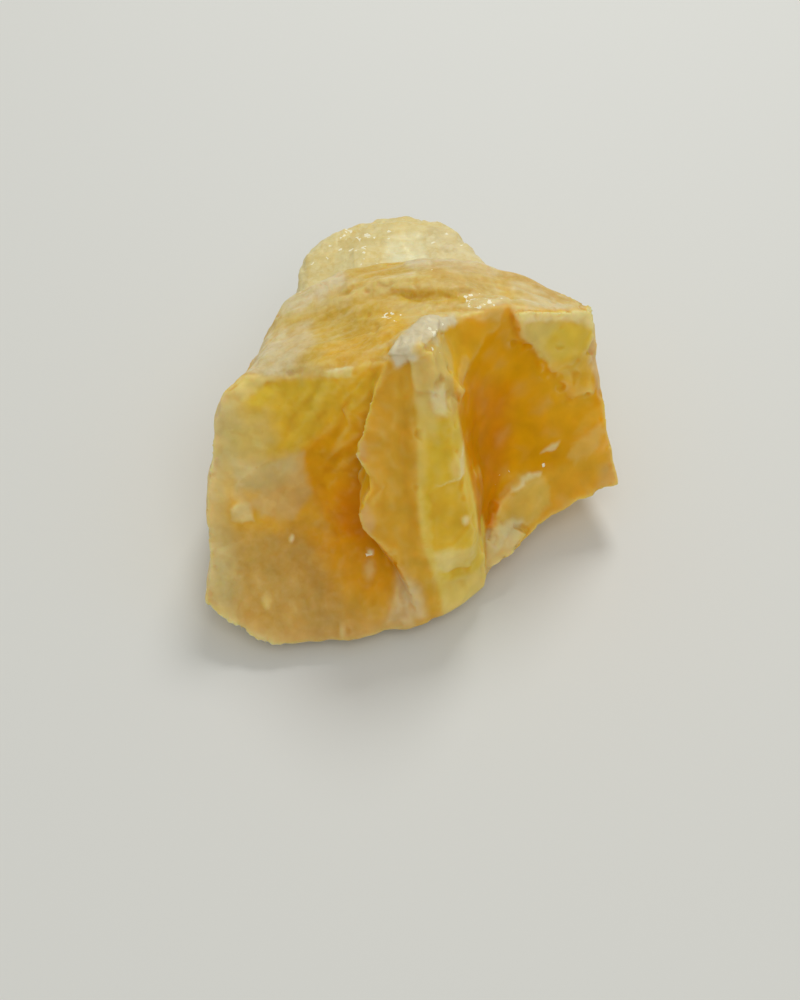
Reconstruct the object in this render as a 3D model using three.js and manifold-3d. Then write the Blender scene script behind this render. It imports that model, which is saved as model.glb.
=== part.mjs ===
// Raw calcite: one broken lump of orange calcite, standing on a flat break.
//
// The lump is described by ribs: lines that run up its side from the flat
// break to the rim of the top. Neighbouring ribs are joined by facets, the top
// is closed by a stepped shelf, and the small masses that grew with the lump
// (a sugary lobe behind, a crust on the peak, loose-edged flakes on the right
// face) are joined to it, so that the whole is one solid.
//
// Millimetres, +Z up, -Y to the front. The origin is under the middle of the
// lump, on the surface that it stands on.

import * as THREE from 'three';
import Module from 'manifold-3d';
import { ConvexGeometry } from 'three/addons/geometries/ConvexGeometry.js';
import { mergeVertices } from 'three/addons/utils/BufferGeometryUtils.js';
import { ImprovedNoise } from 'three/addons/math/ImprovedNoise.js';

// ---- driving dimensions -------------------------------------------------

const SIZE = { x: 56.5, y: 62, z: 36 };   // overall width, depth and height
const FACET = 3.0;                        // longest edge of a facet
const SPLIT_ROUNDS = 6;                   // halvings that bring every edge under FACET
const RELAX_ROUNDS = 6;                   // smoothing inside each face
const RELAX_SHARE = 0.5;                  // share of the way to the neighbours' middle
const WAVE = { length: 8, height: 0.55 };     // swells of the broken surface
const RIPPLE = { length: 2.6, height: 0.22 }; // small breaks on top of them
const STILL_HEIGHT = 3;                   // the roughness fades out below this height
const FLAKE_ROOT = 3;                     // how deep a flake is rooted in the lump
const CRUST_ROOT = 4;                     // how deep a lump of crust is rooted

const ORANGE = 0xb98a2e;
const ROUGHNESS = 0.42;

// ---- the sides ----------------------------------------------------------

// Each rib runs from the flat break up to the rim of the top. `face` names the
// face between a rib and the next one: where the name changes, there is an edge.
// A rib's first stretch belongs to the underside, which leans in to the break.

const FRONT_RIBS = [
  // Left hollow: a smooth bowl that falls from the rim to the lower left edge.
  { face: 'bowl', points: [
    [-20, -17, 0], [-27.5, -22.5, 6], [-26, -20, 10.5], [-26.5, -18, 13.5], [-27, -14, 17],
    [-26, -10, 20], [-26.5, -7.5, 22], [-25, -5, 24], [-23.5, -1, 25], [-22, 0, 26]] },
  { face: 'bowl', points: [
    [-16, -21, 0], [-22, -25.5, 4], [-21.5, -22, 7.5], [-21, -18, 11.5], [-21, -14, 16],
    [-21, -9.5, 21], [-21, -5.5, 24], [-19.5, -1.5, 27]] },
  { face: 'bowl', points: [
    [-11, -24, 0], [-16.5, -26.5, 2], [-15, -22, 5], [-15, -18, 8.5], [-15, -13.5, 12.5],
    [-14.5, -9.5, 17], [-14.5, -6, 23], [-15, -2.5, 28]] },
  { face: 'bowl', points: [
    [-5, -24, 0], [-11, -26.5, 1.5], [-10, -21.5, 4.5], [-10, -17, 7.5], [-10, -13, 11],
    [-10, -10, 15.5], [-9.5, -8, 21], [-9, -6.5, 27], [-9, -5, 30.5]] },
  // The deepest line of the hollow, under the wedge.
  { face: 'wedge flank', points: [
    [0, -22.5, 0], [-1.5, -25, 1.5], [-1, -22.5, 4.5], [-1, -21, 8], [-3.5, -17.5, 9.5],
    [-5, -15.5, 10.5], [-5.5, -12, 14], [-6, -10.5, 18], [-6, -9, 22], [-4.5, -7.5, 28],
    [-3.5, -5.5, 33]] },
  // Wedge: a thin blade of rock that stands out over the hollow.
  { face: 'wedge', points: [
    [2, -21.5, 0], [1.5, -23.5, 1.5], [0, -22.5, 5.5], [-1, -22.5, 12], [-4, -21.5, 16],
    [-6.5, -21, 18], [-6.5, -19, 19.5], [-5.5, -17, 22], [-7, -14.5, 25.5], [-5.5, -12, 28],
    [-4, -9, 31], [-3, -5.5, 33.5]] },
  { face: 'pillar flank', points: [
    [4, -20.5, 0], [4, -22, 1.5], [2.5, -22.5, 6.5], [1, -21.5, 11], [0, -19.5, 16],
    [-0.5, -16.5, 20], [-1, -12.5, 25], [-1, -9.5, 28.5], [-1.5, -5.5, 34.5]] },
  // Pillar: a pale upright bar in front of the peak.
  { face: 'pillar', points: [
    [5.5, -19.5, 0], [5, -21.5, 1.5], [3.5, -22, 8], [2, -21.5, 13], [1, -19, 18],
    [0.5, -16, 22], [0.5, -11.5, 27], [0.5, -9, 30.5], [0, -5.5, 35]] },
  { face: 'pillar bevel', points: [
    [7.5, -18, 0], [7.5, -19.5, 1.5], [7.5, -20.5, 9.5], [8, -18, 15], [7, -15.5, 20],
    [5.5, -13, 25], [5, -10, 29], [4, -7, 32], [2.5, -4.5, 35]] },
  // Right face: one wide smooth hollow break, from the pillar to the right edge.
  { face: 'right', points: [
    [9, -16.5, 0], [9.5, -18, 2], [10, -17.5, 8], [9, -16, 12.5], [9, -14.5, 16.5],
    [7.5, -12.5, 21.5], [6.5, -10.5, 25.5], [6, -7.5, 28.5], [5, -5.5, 31], [3.5, -4, 35]] },
  { face: 'right', points: [
    [10, -14, 0], [10.5, -15, 3], [9.5, -12.5, 5.5], [9.5, -9, 10], [9, -6.5, 15],
    [8, -4.5, 20.5], [6.5, -3, 25.5], [5, -1, 30.5], [4.5, 0.5, 35]] },
  { face: 'right', points: [
    [13, -9, 0], [15, -11.5, 4], [15, -7, 8], [15, -3.5, 14], [14.5, 0, 20.5],
    [13.5, 2, 27.5], [12, 4.5, 33.5]] },
  { face: 'right', points: [
    [16, -4, 0], [21, -6.5, 6], [21.5, -2.5, 11], [21.5, 1, 17.5], [20.5, 4, 24],
    [19, 6.5, 30.5]] },
  { face: 'right', points: [
    [17, -1, 0], [25.5, -6.5, 7], [25.5, -2.5, 11], [25, 1, 16.5], [23.5, 5.5, 24],
    [22, 9, 29]] },
  { face: 'right end', points: [
    [18, 3, 0], [29, -4, 7.5], [28, -2, 10], [27, 0, 13.5], [27, 2.5, 17], [26, 4, 20],
    [25, 7, 24], [25, 11.5, 27]] },
];

const BACK_RIBS = [
  // Right end and right half of the back: two flat breaks with a ledge.
  { face: 'right back', points: [
    [17, 8, 0], [25, 10.5, 5], [26, 12, 12], [25, 12.5, 14], [25, 13, 20], [21, 11.5, 29]] },
  { face: 'right back', points: [
    [14, 14, 0], [20.5, 18, 6], [21, 18.5, 12], [19.5, 17.5, 14], [19, 17, 22],
    [15, 14, 30.5]] },
  { face: 'back', points: [
    [10, 19, 0], [15, 25, 7], [14.5, 24, 13], [12.5, 20.5, 22], [9.5, 16, 31]] },
  { face: 'back', points: [
    [6, 22, 0], [9, 27, 7], [8, 26, 14], [6, 21, 23], [4, 16.5, 31]] },
  { face: 'back', points: [
    [-3, 22, 0], [-3, 24, 9], [-4, 21, 20], [-4.5, 17, 30]] },
  { face: 'left back', points: [
    [-9, 20, 0], [-12, 23, 8], [-11, 20, 19], [-9.5, 17, 29]] },
  { face: 'left back', points: [
    [-13, 17, 0], [-17, 21.5, 7], [-16.5, 19.5, 15], [-11, 15, 28]] },
  // Left side: a flat break with a ledge half way up.
  { face: 'left side', points: [
    [-16, 13, 0], [-21, 18, 6], [-21.5, 18, 11], [-19.5, 17.5, 12.5], [-18.5, 17, 19],
    [-16.5, 16, 26]] },
  { face: 'left side', points: [
    [-18.5, 6, 0], [-24.5, 9, 6], [-25, 10, 11], [-22.5, 10, 13], [-22, 10, 18],
    [-19, 10, 24]] },
  { face: 'left end', points: [
    [-20.5, -3, 0], [-26, -3, 7], [-26, 0, 13], [-24.5, 1, 19], [-20.5, 4.5, 24.5]] },
];

// ---- the top ------------------------------------------------------------

// A shelf of two tiers. The step between them faces the front.
const STEP_FOOT = [
  [-12.5, 12, 27], [-9, 12, 29], [-2, 8.5, 31.5], [2.5, 6.5, 32.5], [7, 6.5, 33],
  [10.5, 6.5, 33]];
const STEP_RISE = [0, 0.9, 1.4, 1.4, 0.9, 0];
const STEP_BACK = 0.7;    // how far the top of the step leans back

// ---- the masses that grew with it ---------------------------------------

// Lobe: a rounded sugary mass behind the shelf, lower than the shelf.
const LOBE = [
  [-16.5, 24, 20.5], [-16, 28.5, 21.5], [-14, 32, 22.5], [-10, 34.5, 23.5],
  [-5, 36, 24], [0, 36.5, 24.5], [4.5, 35, 25], [8.5, 29.5, 25.5], [11, 22, 26],
  [-16, 15, 23.5], [9, 14.5, 27],
  [-18.5, 19, 9], [-14.5, 28.5, 8], [-3, 33, 7], [7.5, 29.5, 7], [13.5, 21, 9],
  [-12, 18, 0], [-9, 25, 0], [0, 28, 0], [7, 23, 0], [9, 16, 0]];

// Flakes on the right face: thin plates left standing when the face broke.
const RIGHT_FACE_IN = new THREE.Vector3(-0.43, 0.68, -0.59);
const FLAKES = [
  [[14, 3, 33], [14.5, 2, 30], [16.5, 2.5, 27], [18, 2, 24.5], [20, 3, 23.5],
    [22.5, 4, 23.5], [23.5, 4.5, 24.5], [24.5, 6.5, 26], [24, 9, 28], [19.5, 5.5, 31]],
  [[18.5, 2, 23.5], [20, 2.5, 22.5], [21, 1.5, 21], [22, 1, 19.5], [24, 1.5, 20],
    [25.5, 2, 19], [25.5, 4, 20.5], [24.5, 5, 24]],
  [[11, -12.5, 8.5], [12, -9.5, 10], [13.5, -8, 10.5], [15, -6.5, 11], [18, -5, 10.5],
    [19.5, -4.5, 9], [19, -7, 6.5], [16.5, -9.5, 5.5], [14.5, -10.5, 6]],
  [[10.5, -13.5, 7], [12, -12.5, 7.5], [14, -11, 7], [16, -11.5, 6], [14, -14, 5],
    [12, -15.5, 4.5], [10.5, -16, 4.5]]];

// Crust: small blocks on the peak and on the head of the pillar.
const CRUST_IN = new THREE.Vector3(0, 0.75, -0.66);
const CRUST = [
  [[4, 0, 36], [1, -1.5, 36.5], [-2, -4, 36], [-3, -6, 34.5], [0, -6.5, 35],
    [1.5, -5.5, 35.5], [3.5, -3.5, 36]],
  [[-0.5, -6, 35], [2.5, -6, 35], [3, -7.5, 33], [3, -9, 31], [0.5, -9, 31], [0, -7.5, 33]],
  [[3.5, -7, 32.5], [5, -6.5, 31.5], [6.5, -7, 29], [6, -7.5, 28.5], [4.5, -8.5, 30]]];

// ---- meshes as points and triangles -------------------------------------

// Points are shared: a point that is asked for twice is the same point.
class Skin {
  constructor() {
    this.points = [];
    this.triangles = [];
    this.faces = [];
    this.known = new Map();
  }

  point(xyz) {
    const key = xyz.map((value) => value.toFixed(5)).join();
    if (!this.known.has(key)) {
      this.known.set(key, this.points.length);
      this.points.push(new THREE.Vector3(...xyz));
    }
    return this.known.get(key);
  }

  triangle(a, b, c, face) {
    if (a === b || b === c || c === a) return;
    this.triangles.push([a, b, c]);
    this.faces.push(face);
  }

  // Joins two lines with a strip. Seen from outside with both lines running
  // up, `left` is the left one. The strip steps along whichever line lags.
  strip(left, right, face) {
    const goneLeft = shares(left.map((index) => this.points[index]));
    const goneRight = shares(right.map((index) => this.points[index]));
    let i = 0;
    let j = 0;
    while (i < left.length - 1 || j < right.length - 1) {
      const stepLeft = j === right.length - 1
        || (i < left.length - 1 && goneLeft[i + 1] < goneRight[j + 1]);
      const name = typeof face === 'function' ? face(i, j) : face;
      if (stepLeft) {
        this.triangle(left[i], right[j], left[i + 1], name);
        i += 1;
      } else {
        this.triangle(left[i], right[j], right[j + 1], name);
        j += 1;
      }
    }
  }

  // Splits every edge that is longer than `longest`. The inner edges of the flat
  // break on z = 0 are left, so that it keeps its few large facets.
  split(longest) {
    for (let round = 0; round < SPLIT_ROUNDS; round += 1) {
      const raised = new Set();
      this.triangles.forEach((corners) => {
        if (corners.every((index) => this.points[index].z === 0)) return;
        corners.forEach((a, side) => raised.add(edgeKey(a, corners[(side + 1) % 3])));
      });
      const middles = new Map();
      const middle = (a, b) => {
        const key = edgeKey(a, b);
        if (!middles.has(key)) {
          const from = this.points[a];
          const to = this.points[b];
          const long = raised.has(key) && from.distanceTo(to) > longest;
          middles.set(key, long ? this.points.push(from.clone().lerp(to, 0.5)) - 1 : -1);
        }
        return middles.get(key);
      };
      const { triangles, faces } = this;
      this.triangles = [];
      this.faces = [];
      triangles.forEach((corners, number) => this.splitOne(corners, faces[number], middle));
    }
  }

  // Splits one triangle at the middles of its long edges.
  splitOne(corners, face, middle) {
    const middles = corners.map((corner, side) => middle(corner, corners[(side + 1) % 3]));
    const long = middles.filter((index) => index >= 0).length;
    // Turn the triangle until its pattern of long edges starts at the first edge.
    let turn = 0;
    if (long === 1) turn = middles.findIndex((index) => index >= 0);
    if (long === 2) turn = (middles.findIndex((index) => index < 0) + 1) % 3;
    const [a, b, c] = [0, 1, 2].map((side) => corners[(side + turn) % 3]);
    const [ab, bc, ca] = [0, 1, 2].map((side) => middles[(side + turn) % 3]);
    const pieces = [
      [[a, b, c]],
      [[a, ab, c], [ab, b, c]],
      [[ab, b, bc], [a, ab, bc], [a, bc, c]],
      [[a, ab, ca], [ab, b, bc], [ca, bc, c], [ab, bc, ca]]][long];
    pieces.forEach((piece) => this.triangle(...piece, face));
  }

  // For each point, its neighbours, and those across the edges between faces.
  around() {
    const near = this.points.map(() => new Set());
    const along = this.points.map(() => new Set());
    const sides = new Map();
    this.triangles.forEach((corners, number) => {
      corners.forEach((a, side) => {
        const b = corners[(side + 1) % 3];
        near[a].add(b);
        near[b].add(a);
        const key = edgeKey(a, b);
        if (sides.has(key) && sides.get(key) !== this.faces[number]) {
          along[a].add(b);
          along[b].add(a);
        }
        sides.set(key, this.faces[number]);
      });
    });
    return { near, along };
  }

  // Smooths each face inside its edges. Points on an edge only slide towards
  // the two next points of that edge, and corners stay.
  relax(rounds, share) {
    const { near, along } = this.around();
    for (let round = 0; round < rounds; round += 1) {
      this.points = this.points.map((point, index) => {
        if (point.z === 0) return point;
        const edge = along[index].size;
        if (edge !== 0 && edge !== 2) return point;
        const others = [...(edge === 2 ? along[index] : near[index])];
        const middle = new THREE.Vector3();
        others.forEach((other) => middle.addScaledVector(this.points[other], 1 / others.length));
        return point.clone().lerp(middle, edge === 2 ? share / 3 : share);
      });
    }
  }

  // The outward direction at each point.
  normals() {
    const sums = this.points.map(() => new THREE.Vector3());
    this.triangles.forEach((corners) => {
      const [a, b, c] = corners.map((index) => this.points[index]);
      const area = b.clone().sub(a).cross(c.clone().sub(a));
      corners.forEach((index) => sums[index].add(area));
    });
    return sums.map((sum) => sum.normalize());
  }

  geometry() {
    const geometry = new THREE.BufferGeometry();
    geometry.setAttribute('position', new THREE.Float32BufferAttribute(
      this.points.flatMap((point) => point.toArray()), 3));
    geometry.setIndex(this.triangles.flat());
    return geometry;
  }
}

function edgeKey(a, b) {
  return a < b ? `${a} ${b}` : `${b} ${a}`;
}

// How far along a line each of its points is, from 0 to 1.
function shares(line) {
  const gone = [0];
  for (let i = 1; i < line.length; i += 1) {
    gone.push(gone[i - 1] + line[i].distanceTo(line[i - 1]));
  }
  return gone.map((value) => value / gone[gone.length - 1]);
}

// ---- the lump itself ----------------------------------------------------

function makeBody() {
  const skin = new Skin();
  const named = [...FRONT_RIBS, ...BACK_RIBS];
  const ribs = named.map((rib) => rib.points.map((xyz) => skin.point(xyz)));
  ribs.forEach((rib, number) => {
    const next = ribs[(number + 1) % ribs.length];
    const { face } = named[number];
    skin.strip(rib, next, (i, j) => (Math.min(i, j) < 1 ? 'underside' : face));
  });

  const rims = ribs.map((rib) => rib[rib.length - 1]);
  const frontRim = rims.slice(0, FRONT_RIBS.length);
  const [leftEnd, rightEnd] = [frontRim[0], frontRim[frontRim.length - 1]];
  const backRim = [leftEnd, ...rims.slice(FRONT_RIBS.length).reverse(), rightEnd];
  const foot = STEP_FOOT.map((xyz) => skin.point(xyz));
  const head = STEP_FOOT.map(([x, y, z], i) => skin.point(
    STEP_RISE[i] ? [x, y + STEP_BACK, z + STEP_RISE[i]] : [x, y, z]));
  skin.strip([leftEnd, ...foot, rightEnd], frontRim, 'front tier');
  skin.strip(head, foot, 'step');
  skin.strip(backRim, [leftEnd, ...head, rightEnd], 'back tier');

  const feet = ribs.map((rib) => rib[0]);
  const middle = skin.point([-2, 0, 0]);
  feet.forEach((at, i) => skin.triangle(middle, feet[(i + 1) % feet.length], at, 'break'));

  return skin;
}

// Cuts a skin into small facets and rounds it inside each face.
function rounded(skin) {
  skin.split(FACET);
  skin.relax(RELAX_ROUNDS, RELAX_SHARE);
  return skin.geometry();
}

function makeLobe() {
  const hull = new ConvexGeometry(LOBE.map((xyz) => new THREE.Vector3(...xyz)));
  const corners = hull.getAttribute('position');
  const skin = new Skin();
  for (let first = 0; first < corners.count; first += 3) {
    const found = [0, 1, 2].map((corner) => skin.point(
      new THREE.Vector3().fromBufferAttribute(corners, first + corner).toArray()));
    skin.triangle(...found, 'lobe');
  }
  return skin;
}

// A block through `points`, with its root pushed along `inward` by `depth`.
function makeBlock(points, inward, depth) {
  const tops = points.map((xyz) => new THREE.Vector3(...xyz));
  const roots = tops.map((top) => top.clone().addScaledVector(inward, depth));
  return new ConvexGeometry([...tops, ...roots]);
}

// A thin flake: its outline, and the same outline pushed into the lump.
function makeFlake(points, inward, depth) {
  const right = inward.clone().cross(new THREE.Vector3(0, 0, 1)).normalize();
  const up = right.clone().cross(inward);
  const flatten = (outline) => outline.map((xyz) => {
    const corner = new THREE.Vector3(...xyz);
    return new THREE.Vector2(corner.dot(right), corner.dot(up));
  });
  const outline = THREE.ShapeUtils.isClockWise(flatten(points)) ? [...points].reverse() : points;
  const flat = flatten(outline);

  const skin = new Skin();
  const tops = outline.map((xyz) => skin.point(xyz));
  const roots = outline.map((xyz) => skin.point(
    new THREE.Vector3(...xyz).addScaledVector(inward, depth).toArray()));
  THREE.ShapeUtils.triangulateShape(flat, []).forEach((found) => {
    const turned = THREE.ShapeUtils.isClockWise(found.map((index) => flat[index]));
    const [a, b, c] = turned ? [...found].reverse() : found;
    skin.triangle(tops[a], tops[b], tops[c]);
    skin.triangle(roots[a], roots[c], roots[b]);
  });
  tops.forEach((top, i) => {
    const next = (i + 1) % tops.length;
    skin.triangle(top, roots[i], roots[next]);
    skin.triangle(top, roots[next], tops[next]);
  });
  return skin.geometry();
}

// ---- joining ------------------------------------------------------------

const wasm = await Module();
wasm.setup();

function solid(geometry) {
  const bare = geometry.clone();
  bare.deleteAttribute('normal');
  bare.deleteAttribute('uv');
  const merged = mergeVertices(bare, 1e-5);
  return new wasm.Manifold(new wasm.Mesh({
    numProp: 3,
    vertProperties: new Float32Array(merged.attributes.position.array),
    triVerts: new Uint32Array(merged.index.array),
  }));
}

function skinOf(manifold) {
  const mesh = manifold.getMesh();
  const skin = new Skin();
  const at = [];
  for (let i = 0; i < mesh.vertProperties.length; i += mesh.numProp) {
    at.push(skin.point([...mesh.vertProperties.slice(i, i + 3)]));
  }
  for (let i = 0; i < mesh.triVerts.length; i += 3) {
    skin.triangle(...[0, 1, 2].map((corner) => at[mesh.triVerts[i + corner]]), 'lump');
  }
  return skin;
}

// ---- the broken surface -------------------------------------------------

const noise = new ImprovedNoise();

function swell(point, { length, height }) {
  return height * noise.noise(point.x / length, point.y / length, point.z / length);
}

// Pushes each point in or out. The flat break that it stands on stays flat.
function roughen(skin) {
  const normals = skin.normals();
  skin.points = skin.points.map((point, index) => {
    const awake = THREE.MathUtils.smoothstep(point.z, 0, STILL_HEIGHT);
    const push = awake * 2 * (swell(point, WAVE) + swell(point, RIPPLE));
    return point.clone().addScaledVector(normals[index], push);
  });
}

// Brings the lump to its overall size, standing on z = 0 over the origin.
function fitToSize(geometry) {
  geometry.computeBoundingBox();
  const box = geometry.boundingBox;
  const middle = box.getCenter(new THREE.Vector3());
  const size = box.getSize(new THREE.Vector3());
  geometry.translate(-middle.x, -middle.y, -box.min.z);
  geometry.scale(SIZE.x / size.x, SIZE.y / size.y, SIZE.z / size.z);
}

function makeLump() {
  const masses = [
    rounded(makeLobe()),
    ...FLAKES.map((points) => makeFlake(points, RIGHT_FACE_IN, FLAKE_ROOT)),
    ...CRUST.map((points) => makeBlock(points, CRUST_IN, CRUST_ROOT))];
  const whole = masses.reduce((sum, mass) => sum.add(solid(mass)), solid(rounded(makeBody())));
  const skin = skinOf(whole);
  skin.split(FACET);
  roughen(skin);
  const geometry = skin.geometry();
  fitToSize(geometry);
  geometry.computeVertexNormals();
  return geometry;
}

const calcite = new THREE.Mesh(makeLump(), new THREE.MeshStandardMaterial({
  color: ORANGE,
  roughness: ROUGHNESS,
  metalness: 0,
  flatShading: true,
}));
calcite.name = 'calcite';

const part = new THREE.Group();
part.add(calcite);

export default part;
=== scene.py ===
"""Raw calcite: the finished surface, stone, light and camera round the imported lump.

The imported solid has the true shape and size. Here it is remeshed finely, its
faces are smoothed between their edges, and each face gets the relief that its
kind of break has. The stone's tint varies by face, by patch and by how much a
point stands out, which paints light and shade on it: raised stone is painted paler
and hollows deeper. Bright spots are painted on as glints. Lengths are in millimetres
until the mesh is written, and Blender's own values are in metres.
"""

import itertools
import math
from collections import namedtuple

import bmesh
import bpy
import numpy as np
from mathutils import Euler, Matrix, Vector, kdtree


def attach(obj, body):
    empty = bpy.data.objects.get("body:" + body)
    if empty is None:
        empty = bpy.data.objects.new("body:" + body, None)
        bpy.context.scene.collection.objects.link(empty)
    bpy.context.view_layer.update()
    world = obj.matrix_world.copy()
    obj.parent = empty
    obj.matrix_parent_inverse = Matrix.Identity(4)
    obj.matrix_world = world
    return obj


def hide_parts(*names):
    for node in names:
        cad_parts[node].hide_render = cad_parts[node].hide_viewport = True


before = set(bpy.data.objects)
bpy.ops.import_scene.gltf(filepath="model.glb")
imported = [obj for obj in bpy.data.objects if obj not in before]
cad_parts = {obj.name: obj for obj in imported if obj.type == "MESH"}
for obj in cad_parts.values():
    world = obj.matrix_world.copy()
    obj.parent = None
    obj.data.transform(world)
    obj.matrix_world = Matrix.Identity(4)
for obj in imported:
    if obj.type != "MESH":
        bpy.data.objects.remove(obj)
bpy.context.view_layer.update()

MM = 0.001

# ---- the mesh --------------------------------------------

GRID = 0.28                # size of the fine mesh's quads
MOST_TRIANGLES = 192_000   # what is kept of them
SAME_PLACE = 1e-6          # corners closer than this, in metres, are one
SHARP = math.radians(34)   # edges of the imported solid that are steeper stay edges
SAMPLE = 0.4               # spacing of the points that mark an edge
MARK_REACH = 6.0           # distances to an edge are counted up to this
EDGE_KEEP = (0.4, 2.2)     # smoothing starts this far from an edge, and is full at the second
SMOOTH_ROUNDS = 26
TOP_ROUNDS = 60            # more for the top, whose layers end softly
BEND_ROUNDS = 4            # what stands out is measured from the surface smoothed this often,
BEND_FULL = 0.08           # and this far out or in counts in full
FLAT_BREAK = 0.12          # what lies lower than this is the flat break under the lump
FREE_ABOVE = (0.15, 1.5)   # relief starts at the first height and is full at the second
FOOT_RISE = 3.2            # the foot is drawn in below this height,
FOOT_DRAW = 0.14           # by up to this share of its distance from the middle
LIP = 0.065                # and above it the front and the back jut out by up to this share,
LIP_FADE = (3, 9)          # which fades out between these heights
RIGHT_FOOT = (-2, 8)       # from the first x to the second both get less,
RIGHT_LESS = 0.7           # by this share
CHIP_DEPTH = 0.3           # of the small chips along ridges
LIFT_SOFT = 0.3            # half the width of the border of a patch that stands out
RAGGED = 0.2               # how far the borders of patches are shaken

# ---- the faces of the lump -------------------------------

# Seen from the front, (z, x) along the lines that part the front faces.
WEDGE_EDGE = [(0, 1), (5, -1), (12, -2), (16, -5), (18, -7.4), (20, -7.4), (22, -6.5),
              (25.5, -7.9), (28, -6.6), (31, -5), (34, -4)]
# How far the wedge's edge juts out to the left, at each height.
WEDGE_SCALLOPS = [(14, 0), (16, -0.3), (18, 0.1), (19.5, 0.2), (20.6, -0.3), (22, -0.9), (23, -0.6),
                  (24.2, 0.3), (25.5, 1.1), (27, 0.6), (28.5, 0.7), (30.5, 0.8), (33, 0)]
# Seen from the left, (z, y) behind which the wedge's left side passes into the bowl.
WEDGE_BACK = [(8, -22.5), (12, -20.5), (16, -18.5), (22, -16), (25, -14.5), (30, -12.4),
              (32, -11.2), (33.5, -9)]
VALLEY = [(0, 4), (8, 2.5), (16, 0.3), (20, -0.2), (28, -0.2), (34, -1)]
PILLAR_EDGE = [(0, 9.3), (8, 9.2), (12.5, 8.0), (16.5, 7.5), (21.5, 6.2), (25.5, 5.3), (31, 4.3),
               (35, 2.6)]
# Seen from above, (x, y) along the front edge of the top, and along its back edge.
FRONT_RIM = [(-30, -3), (-22.9, -4.3), (-20.4, -5.8), (-16, -6.8), (-10, -9.3), (-4.4, -9.8),
             (1.5, -8.8), (2.6, -8.3), (3.6, -3.8), (11, 0.2), (18, 2.2), (21, 4.7),
             (24, 7.2), (30, 8)]
BACK_RIM = [(-30, 8), (-20, 5.7), (-17.4, 11.7), (-12, 10.7), (-10.4, 12.7), (-5.4, 12.7),
            (3, 12.2), (8.6, 11.7), (14, 9.7), (20, 7.2), (30, 7)]
RIM_SOFT = 0.6             # how far before and behind its front edge the top fades
TOP_RISE = (20, 23)        # it starts at the first height, and is whole at the second
# The crust lies along the peak, from behind the right face to the head of the pillar.
CRUST_ENDS = [(3.2, -3.4, 35.2), (-2.6, -9.7, 34.6)]
CRUST_REACH = (1.1, 2.5)   # whole up to the first distance from that line, gone at the second
CRUST_RISE = (32.3, 33.4)  # it starts at the first height, and is whole at the second
# Parts of faces as ellipsoids: the blocky head of the pillar just under the crust, the
# ribs of the bowl, the tongue of the upper flake, and the pale middle of the hidden back.
HEAD_CENTRE = (2.5, -8, 30.5)
HEAD_REACH = (6, 7, 6.5)
RIBS_CENTRE = (-9, -13, 24)
RIBS_REACH = (12, 10, 13)
TONGUE_CENTRE = (21.5, 0, 20.5)
TONGUE_REACH = (5, 7, 5)
BACK_CENTRE = (-2, 22, 8)
BACK_REACH = (16, 14, 16)
# Which way the streaks of a break run, and how many times longer than wide they are.
RIBS = ((-0.62, -0.3, -0.72), 5)
SPLINTERS = ((0, -0.35, 1), 4)
GLASSY_RIBS = ((0.8, 0.2, 0.5), 5)
LAYERS = ((1, 0.12, 0.1), 3.5)

# ---- tints -----------------------------------------------

DEEP = (0.71, 0.255, 0.000)
AMBER = (0.80, 0.395, 0.001)
GOLD = (0.82, 0.49, 0.045)
BRASS = (0.75, 0.51, 0.11)
HONEY = (0.77, 0.455, 0.05)
OCHRE = (0.81, 0.47, 0.025)
LEMON = (0.81, 0.58, 0.055)
OLIVE = (0.81, 0.625, 0.155)
STRAW = (0.84, 0.68, 0.23)
TAN = (0.66, 0.435, 0.12)
VEIL = (0.76, 0.54, 0.20)
ROSE = (0.74, 0.52, 0.23)
FOOT = (0.61, 0.46, 0.25)
# Amber painted lighter: painted light where the wedge and the pillar shade the bowl.
PAINTED_LIGHT_AMBER = (0.95, 0.50, 0.004)
PALE = (0.75, 0.64, 0.29)
HAY = (0.70, 0.455, 0.05)
SAND = (0.76, 0.58, 0.20)
CREAM = (0.81, 0.69, 0.33)
# Pale crystal white, also painted on specks and lines as glints and highlights.
SUGAR_AND_GLINT_WHITE = (0.92, 0.85, 0.52)
CRUST = (0.76, 0.68, 0.46)
# Painted light of thin edges that light shines through.
PAINTED_EDGE_LIGHT = (0.85, 0.65, 0.34)
# Colour of the painted glints, which are painted highlights of crystal faces.
PAINTED_GLINT = (1.0, 0.95, 0.70)

FACE_TINTS = {"bowl": GOLD, "wedge": HONEY, "pillar": LEMON, "right": AMBER, "top": SAND,
              "lobe": CREAM, "rest": GOLD}
BLOCK_SPREAD = (0.02, 0.045, 0.10)   # how far blocks of stone differ in red, green and blue

# ---- patches ---------------------------------------------

# A patch is a part of a face with its own tint. `outline` is seen from the
# front, (x, z), or from above, (x, y), on the top and the lobe. `much` is how
# far the tint covers, `soft` how wide its border is, `lift` how far it stands
# out of the face.
Patch = namedtuple("Patch", "face outline tint much soft lift", defaults=(0,))
SPOT_CORNERS = 7


def spot(x, up, radius):
    """An outline round one point."""
    turns = [math.tau * i / SPOT_CORNERS for i in range(SPOT_CORNERS)]
    return [(x + radius * math.cos(turn), up + radius * math.sin(turn)) for turn in turns]


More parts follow.
